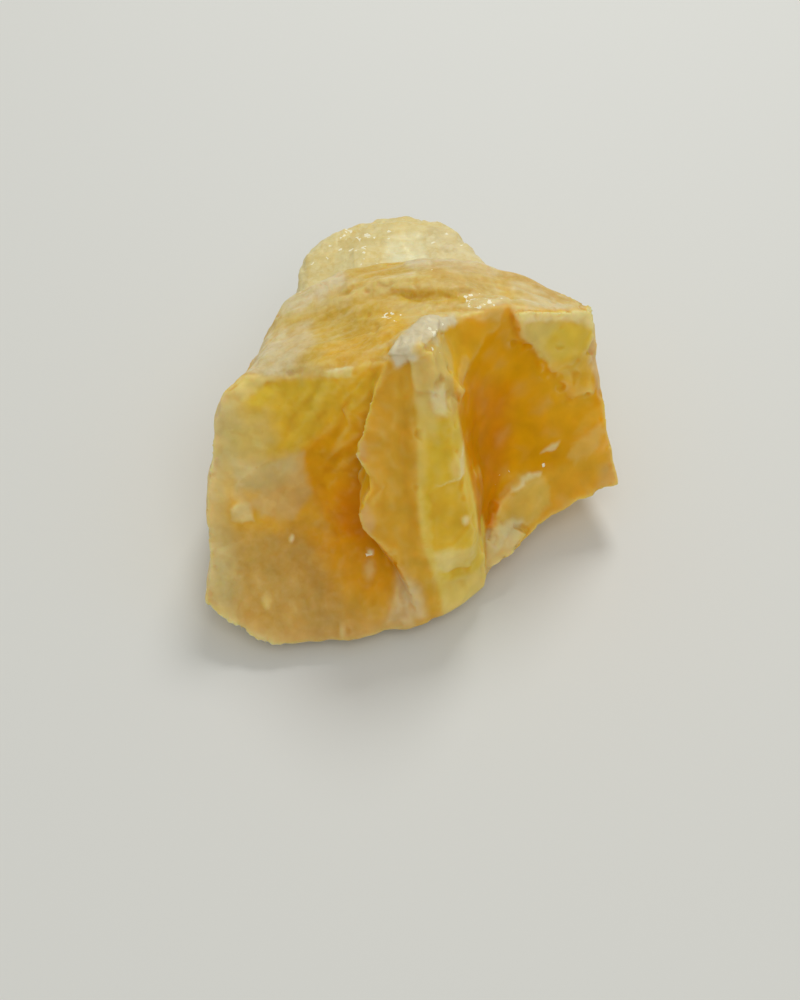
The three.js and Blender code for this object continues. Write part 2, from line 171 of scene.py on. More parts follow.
BOWL_PATCHES = [
    # Yellow under the rim, greener to the left.
    Patch("bowl", [(-26, 25), (-19.5, 26.5), (-11.5, 30), (-4, 32), (-4.5, 28.5), (-9, 25),
                   (-13, 21.8), (-16, 19.5), (-20.5, 20), (-26, 21)], LEMON, 0.8, 1.2),
    Patch("bowl", [(-25.5, 23.5), (-19.5, 24), (-18.5, 21.5), (-20.5, 20), (-25.5, 20)],
          PALE, 0.5, 1.2),
    # Orange along the ribs, deepest beside the wedge. Painted light lifts the amber of the upper
    # bowl, where the wedge and the pillar shade it.
    Patch("bowl", [(-4, 27.5), (-8.5, 24.5), (-11.5, 22), (-15, 19.7), (-15, 17), (-13, 12.5),
                   (-10.5, 9.5), (-3, 7.5), (0, 12), (0, 26)], AMBER, 0.8, 0.6),
    # Painted light: the upper bowl painted a lighter amber where the wedge and the pillar shade it.
    Patch("bowl", [(-3, 33), (-8, 31), (-11, 26), (-13, 20), (-8, 18), (-5, 22)],
          PAINTED_LIGHT_AMBER, 0.45, 2.5),
    Patch("bowl", [(-11, 14), (-8, 18.5), (0, 18), (0, 10), (-7, 8.5), (-11, 10)],
          DEEP, 0.8, 1.8),
    # A milky veil, a stain in it, and a flat pale chip.
    Patch("bowl", [(-24, 19.5), (-19, 19), (-15, 19.5), (-15, 17), (-14, 14.5), (-16.5, 12.5),
                   (-19.5, 13.5), (-24, 16.5)], VEIL, 0.85, 0.45),
    Patch("bowl", [(-25, 20.5), (-20, 20), (-16, 19.5), (-16, 17.5), (-19, 16), (-24, 17)],
          PALE, 0.6, 1.0),
    Patch("bowl", [(-23, 17), (-20.5, 16.5), (-21, 15.8), (-22.3, 15.8)], GOLD, 0.5, 0.5),
    Patch("bowl", [(-24.5, 15.5), (-23.5, 16), (-22, 15.5), (-21.5, 13.8), (-23, 14),
                   (-24.2, 14.5)], CREAM, 0.7, 0.25, 0.15),
    # Tan and grainy below, orange towards the foot of the wedge.
    Patch("bowl", [(-26, 14), (-15.5, 11.5), (-11.5, 7.5), (-9, 5), (-2, 4), (0, 0), (-24, 0),
                   (-27, 9)], TAN, 0.85, 1.5),
    Patch("bowl", [(-15.5, 11), (-7.5, 9.5), (0, 8.5), (0, 6.5), (-7, 5.5), (-11.5, 6)],
          AMBER, 0.7, 1.5),
    # The left rim, the bottom rim and the band under the shelf.
    Patch("bowl", [(-30, 26), (-23, 26), (-23, 23), (-24.8, 22), (-24.3, 18.5), (-25, 15),
                   (-24, 9.5), (-24, 5), (-30, 5)], PALE, 0.85, 1.8),
    Patch("bowl", [(-30, 7), (-20, 3.7), (-15.5, 2.6), (-9.5, 2.8), (0, 3), (4, -1),
                   (-30, -1)], PALE, 0.55, 0.8),
    Patch("bowl", [(-25.5, 25), (-23, 27), (-16.5, 29.5), (-8, 33), (-8.5, 30.7), (-15.5, 28),
                   (-18.5, 26.5), (-22, 25)], STRAW, 0.85, 0.35, 0.25),
    Patch("bowl", [(-11.5, 31.4), (-8.6, 32.6), (-8.6, 31.5), (-11.4, 30)],
          SUGAR_AND_GLINT_WHITE, 0.9, 0.2, 0.3),
    Patch("bowl", [(-23, 26.4), (-20.5, 27), (-16.5, 28.6), (-16.5, 28.2), (-20.5, 26.5)],
          AMBER, 0.7, 0.15, -0.45),
    # Small lumps, and bright specks painted as glints.
    Patch("bowl", spot(-6.5, 7.3, 0.7), VEIL, 0.8, 0.6, 0.15),
    Patch("bowl", spot(-20, 6, 0.6), STRAW, 0.6, 0.4, 0.15),
    Patch("bowl", spot(-10, 3.7, 0.45), PALE, 0.8, 0.3, 0.2),
    # Two specks painted bright as glints.
    Patch("bowl", spot(-16.7, 11, 0.3), SUGAR_AND_GLINT_WHITE, 1, 0.2, 0.1),
    Patch("bowl", spot(-6.3, 8.8, 0.4), SUGAR_AND_GLINT_WHITE, 1, 0.25, 0.1)]

WEDGE_PATCHES = [
    # Pinkish where the edge juts out, amber beside the pillar, and pale crystals at the foot.
    Patch("wedge", [(-9, 26.5), (-7.2, 26.2), (-6.6, 25), (-7, 23.4), (-9, 23.4)], ROSE, 0.7, 0.5),
    Patch("wedge", [(-9, 21), (-6.5, 20.5), (-5.6, 18.5), (-6, 16.8), (-9, 16.8)],
          ROSE, 0.7, 0.5),
    Patch("wedge", [(-2.2, 27), (-0.4, 27), (0.2, 18), (2, 11), (0.5, 12), (-1.2, 18)],
          AMBER, 0.15, 0.7),
    Patch("wedge", [(-2.5, 12), (-1.5, 10), (0.3, 7.5), (1, 4), (-1, 3.5), (-3.5, 4.2),
                    (-2.5, 6.5)], CRUST, 0.65, 1.0, 0.15),
    Patch("bowl", [(-2.5, 10), (0, 7), (0, 3), (-4, 4), (-3, 6.5)], CRUST, 0.6, 1.0, 0.15)]

PILLAR_PATCHES = [
    # A faint step with a painted highlight along its edge and its bright right end, deeper stone
    # under it, then a pale band and foot.
    Patch("pillar", [(1.3, 20), (3.5, 21), (5.7, 21.5), (6.7, 18.5), (6.7, 15.5), (4.5, 14),
                     (2, 14)], GOLD, 0.4, 0.35, -0.12),
    # The bright right end of the step, part of its painted highlight.
    Patch("pillar", [(3.9, 23.2), (5.6, 24), (5.8, 21.8), (4.2, 21.5)], STRAW, 0.6, 0.3),
    # The painted highlight along the step's edge and up its right end.
    Patch("pillar", [(2.5, 20.8), (5.2, 21.6), (5.5, 24), (5.8, 24), (5.8, 21.3)],
          SUGAR_AND_GLINT_WHITE, 0.6, 0.2),
    Patch("pillar", [(2, 13.7), (4.5, 13.5), (4.8, 11.5), (4, 10), (2.5, 10.5)],
          SUGAR_AND_GLINT_WHITE, 0.45, 0.7),
    Patch("pillar", [(2, 13.5), (4.5, 13.5), (7.5, 12.5), (7.5, 10), (6.5, 9.6), (3.5, 10),
                     (2, 11.5)], STRAW, 0.7, 0.5, 0.12),
    Patch("pillar", [(4, 9.8), (6.8, 9.6), (6.5, 8.3), (4.3, 8.3)], GOLD, 0.35, 0.4, -0.1),
    Patch("pillar", [(3.5, 8), (9, 7.5), (9, 0), (3, 0), (3, 5)], STRAW, 0.6, 0.6),
    # Blocks at the head, with sparkling crystals between them.
    Patch("pillar", [(-2.5, 36), (4, 36), (6.4, 29.5), (5.8, 27.5), (3, 28.5), (-2, 29)],
          SAND, 0.85, 0.8),
    Patch("pillar", [(1.2, 31.2), (3.2, 31), (3.4, 28), (1.8, 28.4)], SUGAR_AND_GLINT_WHITE, 0.7, 0.5, 0.15),
    Patch("pillar", [(0, 29.5), (2.6, 29), (2.2, 25.5), (0.4, 26)], STRAW, 0.6, 0.8),
    Patch("pillar", [(3.4, 33), (4.6, 32), (6.4, 29.5), (5.8, 27.5), (4, 27.5)], BRASS, 0.5, 0.7),
    Patch("pillar", spot(5.4, 28.6, 0.6), SUGAR_AND_GLINT_WHITE, 0.7, 0.4, 0.1),
    Patch("right", [(2.4, 35), (4, 33.5), (6.8, 29.5), (5.8, 27.5), (3, 27.5)], GOLD, 0.6, 0.6),
    Patch("right", spot(5.6, 29.2, 0.8), SUGAR_AND_GLINT_WHITE, 0.8, 0.4, 0.1),
    # A white speck painted as a glint.
    Patch("pillar", spot(6.1, 16.3, 0.5), SUGAR_AND_GLINT_WHITE, 0.7, 0.35, 0.15)]

UPPER_FLAKE = [(12, 34), (13, 32.3), (13.5, 30), (15, 28), (16, 26), (17.5, 24.2), (19.3, 22.8),
               (21, 21), (22, 18.5), (23.3, 18.5), (24, 23), (24.2, 25), (25, 29), (19, 33)]

LOWER_FLAKE = [(10.5, 8.5), (11.2, 10), (12.6, 11), (14, 11.5), (17, 10.5), (18.2, 8.5), (18.5, 6.5),
               (16, 5), (14, 5), (12, 6.5), (10, 7)]

RIGHT_PATCHES = [
    # Lighter where the face turns towards the peak, deepest in the hollow beside the pillar.
    Patch("right", [(2.5, 36), (5, 34.5), (12, 33.8), (11.5, 31.8), (9, 30.8), (6.5, 28.6),
                    (4.8, 28.5), (3, 31)], OCHRE, 0.8, 0.45, 0.12),
    Patch("right", [(5.5, 28.5), (8, 26.5), (12, 22.5), (12.5, 17), (12, 13.5), (10, 12),
                    (9.5, 8.5), (9.5, 3), (5, 3), (5, 15.5)], DEEP, 0.85, 2.0),
    Patch("right", [(15, 24), (20, 22), (27, 17), (27, 10), (20, 10), (17, 15)], OCHRE, 0.35, 2),
    Patch("right", [(10.5, 34.5), (13.5, 34), (14, 31), (12.8, 28.5), (10.5, 30.5)], GOLD, 0.6, 0.6),
    # The upper flake with its clearer middle and its tongue, and the strip beside it.
    Patch("right", UPPER_FLAKE, OLIVE, 1, 0.2),
    Patch("right", [(17, 28), (19, 29), (23.5, 27), (23, 24.5), (19.5, 24), (17, 26)],
          LEMON, 0.8, 0.7),
    Patch("right", [(17, 25), (22, 24.5), (24.5, 24.5), (24, 17), (21, 17), (18, 21)],
          OCHRE, 0.6, 0.8),
    Patch("right", [(20.5, 22), (23.3, 22.5), (22.8, 18), (21.3, 18)], OCHRE, 0.6, 0.5),
    Patch("right", [(23.3, 26), (24.3, 26), (25.5, 21.5), (26.5, 17), (25, 18), (24, 21),
                    (23, 23)], ROSE, 0.9, 0.3),
    # A lighter band along the lower edge, and slanting veils near the right end.
    Patch("right", [(11, 12), (14, 11.7), (18.5, 10.5), (22, 11), (27, 12.5), (30, 10.3), (30, 4),
                    (14, 0), (14, 5), (17, 8)], GOLD, 0.75, 0.7),
    Patch("right", [(30, 11), (25.5, 10), (24.5, 6), (30, 5)], VEIL, 0.5, 0.8),
    Patch("right", [(21.3, 14.7), (23, 16.2), (25.5, 17.2), (26.5, 16.3), (24.5, 15.5),
                    (22.5, 14.6)], GOLD, 0.8, 0.35),
    Patch("right", [(20.8, 11.5), (21.3, 13), (23, 14.2), (25.5, 15), (26, 14), (25, 12.8),
                    (24, 11.7), (22, 10.8)], STRAW, 0.4, 0.35),
    # A small patch painted bright as a glint.
    Patch("right", [(17, 13), (18.5, 14), (19.6, 14), (19, 13)], SUGAR_AND_GLINT_WHITE, 0.6, 0.25, 0.1),
    # The lower flake with its top edge painted bright as a highlight, and the crystalline chunk at
    # its foot.
    Patch("right", LOWER_FLAKE, OLIVE, 0.6, 0.3),
    Patch("right", [(8, 16), (11.3, 12.3), (10.8, 10.2), (10, 8.4), (9.3, 6.8), (8.3, 9)],
          DEEP, 0.8, 0.5),
    # Its top edge, painted bright as a highlight.
    Patch("right", [(12.8, 10.6), (14.2, 11.2), (17, 10.9), (17, 10.5), (14.3, 10.6)],
          SUGAR_AND_GLINT_WHITE, 0.7, 0.2, 0.1),
    Patch("right", [(8.7, 7.2), (11, 7.9), (14.5, 6.6), (13.5, 4.5), (12, 3), (9, 3)],
          PALE, 0.8, 0.5),
    Patch("right", [(8.7, 7.4), (9.5, 7.2), (11, 8), (13.5, 7), (14.7, 6.2), (13, 5.6),
                    (10.5, 5.6)], SUGAR_AND_GLINT_WHITE, 0.4, 0.4, 0.15),
    # White along the rim, over the flake and beside the peak.
    Patch("right", [(11.5, 34), (12, 32.7), (16, 30.9), (20, 28.5), (24, 26.5), (26, 27), (22, 31),
                    (15, 34)], SUGAR_AND_GLINT_WHITE, 0.55, 0.35, 0.1),
    Patch("right", [(4.5, 34.5), (6, 35), (9, 34.5), (11.5, 33.5), (10.5, 32), (8.5, 32.6)],
          SAND, 0.5, 0.5, 0.1)]

TOP_PATCHES = [
    # Pale bands and golden layers, from the back rim to the front one.
    Patch("top", [(-20, 13), (-2, 14), (12, 13), (22, 8), (18, 5.5), (8, 8), (-2, 9), (-12, 8),
                  (-18, 7)], CRUST, 0.65, 1.2),
    Patch("top", [(-10.5, 14), (-6.5, 14), (-2, 13), (-1, 8), (-5, 8), (-9.5, 9)], HAY, 0.8, 0.6),
    Patch("top", [(-3.5, 4.5), (3, 3), (6.5, 2.5), (6, 0.7), (1.5, 0.3), (-2.5, 2.7)],
          HAY, 1, 0.4),
    Patch("top", [(-2.5, 3.7), (3.5, 2.3), (5, 1.3), (0, 1.6)], BRASS, 0.5, 0.4, -0.3),
    Patch("top", [(-17.5, 5), (-9, 4.7), (-3, 3.3), (-1.5, -4), (-3.5, -8.5), (-11.5, -7.5),
                  (-15.5, -5), (-18.5, -1)], HAY, 0.8, 1.2),
    Patch("top", [(-13.5, -4), (-8, -2), (-3, 0), (-1, -4), (-3, -9.8), (-9, -9.2), (-12.5, -7.5)],
          GOLD, 0.8, 1.0),
    Patch("top", [(-14, 3), (-9, 2.6), (-8.5, 0.5), (-12, -1.5), (-15, 0)], BRASS, 0.35, 1.0),
    Patch("top", [(11, 11), (19, 9), (24, 8), (23, 6), (19, 6), (15, 7.3), (11.5, 8.5)],
          TAN, 0.85, 0.5),
    Patch("top", [(-22, 4), (-14.5, 4), (-13.5, -2), (-17, -7), (-24, -5)], CRUST, 0.6, 1.0),
    # White veins and crusts.
    Patch("top", [(-11.6, -9.5), (-8.2, -10.2), (-8.2, -9.5), (-9.5, -8.9), (-11.8, -8.4)],
          SUGAR_AND_GLINT_WHITE, 0.9, 0.2, 0.3),
    Patch("top", [(4.5, -0.5), (8, 1.7), (11.5, 3.7), (12, 0.5), (9, -1)], CRUST, 0.25, 0.5, 0.3),
    Patch("top", [(1, 11), (12, 10), (13, 5), (7, 1.5), (1, 4)], TAN, 0.55, 1.5),
    Patch("top", [(12.5, 6.5), (15, 5.8), (19, 5), (24, 4.9), (19, 3.2), (14.5, 0.5),
                  (12.5, 3)], CRUST, 0.6, 0.4, 0.2),
    Patch("top", [(-2, 13.5), (1.5, 13), (1.8, 9.5), (-1.5, 9.5)], CRUST, 0.6, 0.4, 0.2),
    Patch("top", [(-17, 11), (-12, 9.8), (-10.3, 11.5), (-11.5, 14), (-15, 14)],
          CRUST, 0.5, 0.4, 0.2)]

LOBE_PATCHES = [
    Patch("lobe", [(-4.5, 24), (0.5, 25), (1.5, 20), (1, 13), (-3, 13), (-5, 20)],
          SUGAR_AND_GLINT_WHITE, 1, 0.8),
    Patch("lobe", [(1.5, 26.5), (3.5, 27), (7, 24.5), (9.5, 19), (11, 11), (2, 11), (1.3, 20)],
          CRUST, 0.35, 0.5),
    Patch("lobe", spot(4.5, 20.5, 1.1), CRUST, 0.8, 0.4, 0.35)]

# Where painted glints, spots painted bright as highlights of crystal faces, lie thickly: centre,
# radii and how thickly.
PAINTED_GLINT_SPOTS = [
    ((-10, 24, 24), (8, 9, 6), 0.7), ((-15, 14, 25), (4, 5, 5), 0.7), ((-2, 23, 25), (4, 7, 4), 0.4),
    ((-4, -1, 32), (3, 3, 3), 0.8), ((8, 1, 33), (5, 3, 3), 1), ((2, 8, 33), (7, 4, 3), 0.4),
    ((16, -6, 11), (4, 4, 1.5), 0.8), ((11, -10, 12), (2.5, 3, 2), 0.8),
    ((-6, -21, 8.6), (2, 2, 1.5), 0.8), ((2, -7, 34), (5, 6, 3), 0.5)]

PATCHES = (BOWL_PATCHES + WEDGE_PATCHES + PILLAR_PATCHES + RIGHT_PATCHES + TOP_PATCHES
           + LOBE_PATCHES)
SEEN_FROM_ABOVE = ("top", "lobe")


# ---- fields in space -------------------------------------

# The random numbers behind all noise. Each seed picks them in an order of its own.
RANDOM = np.random.default_rng(20)
SHUFFLE = RANDOM.permutation(256)
SLOPES = RANDOM.normal(size=(256, 3))
SLOPES /= np.linalg.norm(SLOPES, axis=1)[:, None]
SPREAD = RANDOM.random((256, 3))
NOISE_GAIN = 1.7           # brings noise to between about -1 and 1

# Calcite cleaves along three planes. These are their normals, each 75 degrees from the next.
CLEAVAGE_TILT = 0.778      # of each normal from the line midway between the three
CRYSTAL_TURN = Euler((0.5, -0.4, 0.3))
CLEAVAGE = [
    np.array(Vector((math.sin(CLEAVAGE_TILT) * math.cos(turn),
                     math.sin(CLEAVAGE_TILT) * math.sin(turn),
                     math.cos(CLEAVAGE_TILT))) @ CRYSTAL_TURN.to_matrix())
    for turn in (0, math.tau / 3, -math.tau / 3)]


def hashed(cell, seed):
    """A number from 0 to 255 for each cell of the lattice, the same on every run."""
    index = np.full(len(cell), seed)
    for axis in range(3):
        index = SHUFFLE[(index + cell[:, axis]) & 255]
    return index


def noise(points, size, seed):
    """Smooth swells about `size` across, between about -1 and 1."""
    at = points / size
    cell = np.floor(at).astype(int)
    inside = at - cell
    fade = inside**3 * (inside * (inside * 6 - 15) + 10)
    total = np.zeros(len(at))
    for corner in itertools.product((0, 1), repeat=3):
        slope = SLOPES[hashed(cell + corner, seed)]
        weight = np.where(corner, fade, 1 - fade).prod(axis=1)
        total += weight * (slope * (inside - corner)).sum(axis=1)
    return total * NOISE_GAIN


def fractal(points, size, octaves, seed):
    """Swells with smaller swells on them, each half as wide and half as high."""
    return sum(noise(points, size / 2**i, seed + i) / 2**i for i in range(octaves))


def chipped(points, size, seed):
    """Height of a surface broken along its cleavage: flat faces that meet in creases."""
    climb, fall = 0.78, 0.22    # shares of a face's width
    bent = noise(points, size * 2.5, seed) * 0.5
    slopes = []
    for index, way in enumerate(CLEAVAGE):
        part = (points @ way / size + bent + seed * 0.37 + index * 0.31) % 1
        reach = 0.65 + 0.5 * noise(points, size * 3, seed + index + 1)
        slopes.append(np.minimum(part / climb, (1 - part) / fall) * np.clip(reach, 0, 1))
    return np.max(slopes, axis=0) - 0.5


def blocks(points, size, seed):
    """A number from -1 to 1 for each block of stone between cleavage planes `size` apart."""
    layer = [np.floor(points @ way / size + noise(points, size * 3, seed + index) * 0.4)
             for index, way in enumerate(CLEAVAGE)]
    return SPREAD[hashed(np.stack(layer, axis=1).astype(int), seed), 0] * 2 - 1


def smooth(value, low, high):
    """0 below `low`, 1 above `high`, and a smooth way between."""
    share = np.clip((value - low) / (high - low), 0, 1)
    return share * share * (3 - 2 * share)


def along(line, at):
    """The line's second number where its first is `at`."""
    first, second = zip(*line)
    return np.interp(at, first, second)


def blob(points, centre, radii):
    """1 in the middle of an ellipsoid, falling smoothly to 0 at its surface."""
    far = np.sqrt((((points - centre) / radii)**2).sum(axis=1))
    return 1 - smooth(far, 0.35, 1)


def turned(points, direction, stretch):
    """The points with space squeezed along `direction`, so that noise there runs in streaks."""
    line = np.array(direction, float)
    line /= np.linalg.norm(line)
    return points - np.outer(points @ line, line) * (1 - 1 / stretch)


def off_line(points, start, end):
    """How far each point is from a straight line between two points."""
    start = np.array(start)
    run = np.array(end) - start
    part = np.clip((points - start) @ run / (run @ run), 0, 1)
    return np.linalg.norm(points - start - np.outer(part, run), axis=1)


def depth_inside(outline, across, up):
    """How far each point is inside a closed outline. Outside it the number is negative."""
    nearest = np.full(len(across), np.inf)
    inside = np.zeros(len(across), bool)
    for (x0, z0), (x1, z1) in zip(outline, outline[1:] + outline[:1]):
        run = x1 - x0
        rise = z1 - z0
        part = np.clip(((across - x0) * run + (up - z0) * rise) / (run**2 + rise**2), 0, 1)
        off = np.hypot(across - x0 - part * run, up - z0 - part * rise)
        nearest = np.minimum(nearest, off)
        crosses = (z0 > up) != (z1 > up)
        inside ^= crosses & (across < x0 + run * (up - z0) / (rise or 1))
    return np.where(inside, nearest, -nearest)


# ---- the fine mesh ---------------------------------------

def joined(mesh):
    """The mesh as a form to work on, in which corners at the same place are one."""
    form = bmesh.new()
    form.from_mesh(mesh)
    bmesh.ops.remove_doubles(form, verts=form.verts, dist=SAME_PLACE)
    return form


def sharp_points(mesh):
    """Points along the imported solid's sharp edges, in mm: on all of them, and on the ridges."""
    form = joined(mesh)
    on_edges, on_ridges = [], []
    for edge in form.edges:
        if not edge.is_manifold or edge.calc_face_angle() < SHARP:
            continue
        start, end = (np.array(vert.co) / MM for vert in edge.verts)
        count = 1 + int(np.linalg.norm(end - start) / SAMPLE)
        marks = [start + (end - start) * i / count for i in range(count + 1)]
        on_edges += marks
        if edge.is_convex:
            on_ridges += marks
    form.free()
    return on_edges, on_ridges


def distance_to(marks, points):
    """How far each point is from the nearest mark, up to MARK_REACH."""
    tree = kdtree.KDTree(len(marks))
    for index, mark in enumerate(marks):
        tree.insert(mark, index)
    tree.balance()
    return np.array([min(tree.find(point)[2], MARK_REACH) for point in points])


class Surface:
    """The lump's fine mesh as arrays, in millimetres."""

    def __init__(self, source):
        self.lump = bpy.data.objects.new("stone", source.data.copy())
        bpy.context.scene.collection.objects.link(self.lump)
        form = joined(self.lump.data)
        form.to_mesh(self.lump.data)
        form.free()
        even = self.lump.modifiers.new("even", "REMESH")
        even.mode = "VOXEL"
        even.voxel_size = GRID * MM
        self.apply_modifiers()

    def apply_modifiers(self):
        """Gives the lump the mesh that its modifiers make, and reads it."""
        view = bpy.context.evaluated_depsgraph_get()
        self.mesh = bpy.data.meshes.new_from_object(self.lump.evaluated_get(view))
        self.lump.modifiers.clear()
        self.lump.data = self.mesh
        self.points = self.read("vertices", "co", 3) / MM
        edges = self.read("edges", "vertices", 2, int)
        self.ends = np.concatenate([edges[:, 0], edges[:, 1]])
        self.starts = np.concatenate([edges[:, 1], edges[:, 0]])
        self.count = np.bincount(self.ends, minlength=len(self.points))

    def read(self, group, name, width, kind=float):
        data = np.zeros(len(getattr(self.mesh, group)) * width, kind)
        getattr(self.mesh, group).foreach_get(name, data)
        return data.reshape(-1, width)

    def write(self):
        self.mesh.vertices.foreach_set("co", (self.points * MM).ravel())
        self.mesh.update()

    def keep(self, name, values, kind="FLOAT", part="value"):
        """Keeps each point's value on the mesh, where the shader reads it."""
        field = self.mesh.attributes.new(name, kind, "POINT")
        field.data.foreach_set(part, values.ravel())

    def normals(self):
        self.write()
        return self.read("vertex_normals", "vector", 3)

    def blurred(self, values):
        """Each point's value as the mean of its neighbours' values."""
        columns = values.reshape(len(self.points), -1)
        mean = np.stack([
            np.bincount(self.ends, columns[self.starts, i], len(self.points)) / self.count
            for i in range(columns.shape[1])], axis=1)
        return mean.reshape(values.shape)

    def relax(self, rounds, share):
        """Each round takes each point `share` of half the way to its neighbours' mean."""
        for _ in range(rounds):
            self.points += (self.blurred(self.points) - self.points) * share[:, None] * 0.5

    def bend(self):
        """How much the surface stands out of its smoothed self, from -1 if sunk to 1."""
        mean = self.points
        for _ in range(BEND_ROUNDS):
            mean = self.blurred(mean)
        height = ((self.points - mean) * self.normals()).sum(axis=1)
        return np.clip(height / BEND_FULL, -1, 1)

    def push(self, height):
        """Moves the surface out by `height` mm at each point. The flat break stays flat."""
        free = smooth(self.points[:, 2], *FREE_ABOVE)
        self.points += self.normals() * (height * free)[:, None]

    def thin_out(self):
        """Brings the mesh down to MOST_TRIANGLES, first where it is flattest."""
        self.write()
        triangles = sum(len(polygon.vertices) - 2 for polygon in self.mesh.polygons)
        fewer = self.lump.modifiers.new("fewer", "DECIMATE")
        fewer.ratio = MOST_TRIANGLES / triangles
        fewer.use_collapse_triangulate = True
        self.apply_modifiers()


def softened(surface, edges):
    """Each point's share of the smoothing: 0 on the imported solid's edges, 1 away from them."""
    points = surface.points
    x, y, z = points.T
    away = smooth(distance_to(edges, points), *EDGE_KEEP)

    # Edges that are soft in the stone: the valley, the flakes, the pillar's head, the tongue.
    valley = 1 - smooth(np.abs(x - along(VALLEY, z) + 0.4), 0.8, 2.2)
    valley *= smooth(-y, 4, 7) * smooth(z, 3, 6) * smooth(31 - z, 0, 3)
    upper = 1 - smooth(-depth_inside(UPPER_FLAKE, x, z), 0.8, 2)
    upper *= smooth(-y, -5, -3) * smooth(31 - z, 0, 2) * smooth(22.5 - x, 0, 1.5) * 0.9
    lower = 1 - smooth(np.abs(depth_inside(LOWER_FLAKE, x, z)), 0.6, 1.5)
    lower *= smooth(-y, 1, 3) * smooth(x, 9.5, 10.5) * smooth(z, 6, 7.5) * 0.8
    head = blob(points, HEAD_CENTRE, HEAD_REACH)
    tongue = blob(points, TONGUE_CENTRE, TONGUE_REACH) * 0.95
    return np.max([away, valley, upper, lower, head, tongue], axis=0)


def mend_floor(surface):
    """Lays the flat break exactly on z = 0."""
    height = surface.points[:, 2]
    surface.points[:, 2] = np.where(height < FLAT_BREAK, 0, height)


def draw_in_foot(surface):
    """Draws the foot in a little, so that the lump stands inside its outline."""
    x, _, z = surface.points.T
    above_foot = smooth(z, 0, FOOT_RISE)
    drawn = FOOT_DRAW * (1 - above_foot)
    lip = LIP * above_foot * (1 - smooth(z, *LIP_FADE))
    much = 1 - RIGHT_LESS * smooth(x, *RIGHT_FOOT)
    surface.points[:, 0] *= 1 - drawn * much
    surface.points[:, 1] *= 1 + (lip - drawn) * much


# ---- what each point belongs to --------------------------

def wedge_edge(z):
    """The wedge's scalloped left edge, seen from the front."""
    return along(WEDGE_EDGE, z) - along(WEDGE_SCALLOPS, z)


def name_faces(surface):
    """How far each point belongs to each face of the lump, from 0 to 1."""
    points = surface.points
    normals = surface.normals()
    x, y, z = points.T
    behind = y - along(BACK_RIM, x)
    inside = y - along(FRONT_RIM, x)

    # The front ends at the front edge of the top, and doesn't face back. The top faces up,
    # and passes into the lobe at its back edge.
    front = (1 - smooth(inside, -RIM_SOFT, RIM_SOFT)) * smooth(-normals[:, 1], -0.25, 0.1)
    lobe = smooth(behind, -0.3, 0.7) * smooth(y, 8.5, 10)
    top = smooth(inside, -RIM_SOFT, RIM_SOFT) * (1 - lobe) * smooth(normals[:, 2], 0.25, 0.6)
    top *= smooth(z, *TOP_RISE)
    # Below and to the right the lobe has uneven borders.
    lobe *= smooth(z + noise(points, 6, 99) * 3, 9, 14)
    lobe *= smooth(15 - x + fractal(points, 5, 3, 100) * 2.5, 0, 4)

    # The bowl goes on behind the wedge's edge, where the stone faces left or lies deep.
    left_of_wedge = smooth(wedge_edge(z) - x, -0.3, 0.5)
    behind_edge = np.maximum(smooth(-normals[:, 0], 0.3, 0.6),
                             smooth(y - along(WEDGE_BACK, z), -0.5, 0.5))
    behind_edge *= 1 - smooth(x - wedge_edge(z), 1.5, 3)
    left_of_wedge = np.maximum(left_of_wedge, behind_edge)
    left_of_valley = smooth(along(VALLEY, z) - x, -0.4, 0.4)
    left_of_right = smooth(along(PILLAR_EDGE, z) - x, -0.2, 0.2)
    return {
        "top": top,
        "lobe": lobe,
        "bowl": front * left_of_wedge,
        "wedge": front * (1 - left_of_wedge) * left_of_valley,
        "pillar": front * (1 - left_of_valley) * left_of_right,
        "right": front * (1 - left_of_right),
        "rest": np.clip(1 - front - top - lobe, 0, 1),
    }


def rib_swells(points):
    """The ribs that fan down the bowl from the peak, as swells."""
    streaks = turned(points, *RIBS)
    return noise(streaks, 2.3, 11) + 0.5 * noise(streaks, 1.1, 12)


def splinter_swells(points):
    """The upright splinters of the wedge and the pillar, as swells."""
    return noise(turned(points, *SPLINTERS), 1.3, 31)


def layer_swells(points):
    """The layers of the top as swells, broad ones and thin ones."""
    layers = turned(points, *LAYERS)
    return noise(layers, 2.6, 61), noise(layers, 1.2, 63)


def ragged(points):
    """The points shaken a little, so that the borders of patches are ragged."""
    shake = np.stack([fractal(points, 1.6, 2, seed) for seed in (101, 104, 107)], axis=1)
    return points + shake * RAGGED


def cover_of(patch, shaken, share, soft):
    """How far each point lies in a patch, from 0 to 1."""
    upward = shaken[:, 1] if patch.face in SEEN_FROM_ABOVE else shaken[:, 2]
    depth = depth_inside(patch.outline, shaken[:, 0], upward)
    return smooth(depth, -soft, soft) * share[patch.face]


def crust_of(points):
    """How far each point lies in the crust on the peak, from 0 to 1."""
    far = off_line(points, *CRUST_ENDS) + fractal(points, 2.2, 3, 108) * 0.8
    return (1 - smooth(far, *CRUST_REACH)) * smooth(points[:, 2], *CRUST_RISE)


# ---- relief: height in mm at each point ------------------

def bowl_relief(points):
    """Ribs that fan down from the peak, fading into a fine uneven skin, rougher low down."""
    ribs = rib_swells(points) * blob(points, RIBS_CENTRE, RIBS_REACH)
    uneven = fractal(points, 3.2, 3, 21)
    return ribs * 0.55 + uneven * (0.14 + 0.1 * smooth(14 - points[:, 2], 0, 6))


def right_relief(points):
    """A smooth glassy break with a few long faint ribs."""
    ribs = noise(turned(points, *GLASSY_RIBS), 2.2, 51)
    return ribs * 0.06 + noise(points, 6, 53) * 0.15


def top_relief(points):
    """Fibrous layers that end in small ledges, running from left to right."""
    broad, thin = layer_swells(points)
    return broad * 0.28 + thin * 0.11 + chipped(points, 3.4, 65) * 0.22


